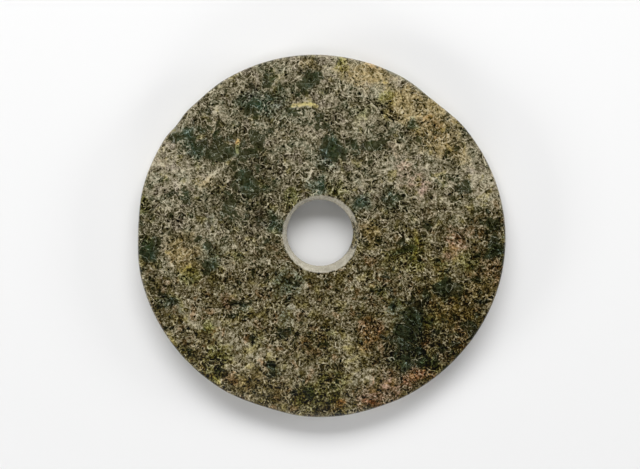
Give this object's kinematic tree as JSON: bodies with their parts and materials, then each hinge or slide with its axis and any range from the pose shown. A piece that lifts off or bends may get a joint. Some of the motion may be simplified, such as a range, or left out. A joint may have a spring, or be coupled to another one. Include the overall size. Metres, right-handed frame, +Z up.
{
  "type": "jade bi disc",
  "caption": "Flat round disc of mottled green-brown jade with a round hole drilled from both faces near its centre, its rim softly rounded and a little out of round.",
  "frame": {"origin": "on the underside's plane, under the centre of the outline's bounding box", "axes": "+Z up out of the upper face, +Y towards the top of the reference view, +X to its right"},
  "size_m": [0.2018, 0.199, 0.0119],
  "materials": {
    "jade": "ground and polished stone with a pale mineral network, dark green-black where it is unaltered, rust and ochre stains, satin sheen"
  },
  "bodies": {
    "root": {"jade_disc": "jade"}
  },
  "joints": []
}
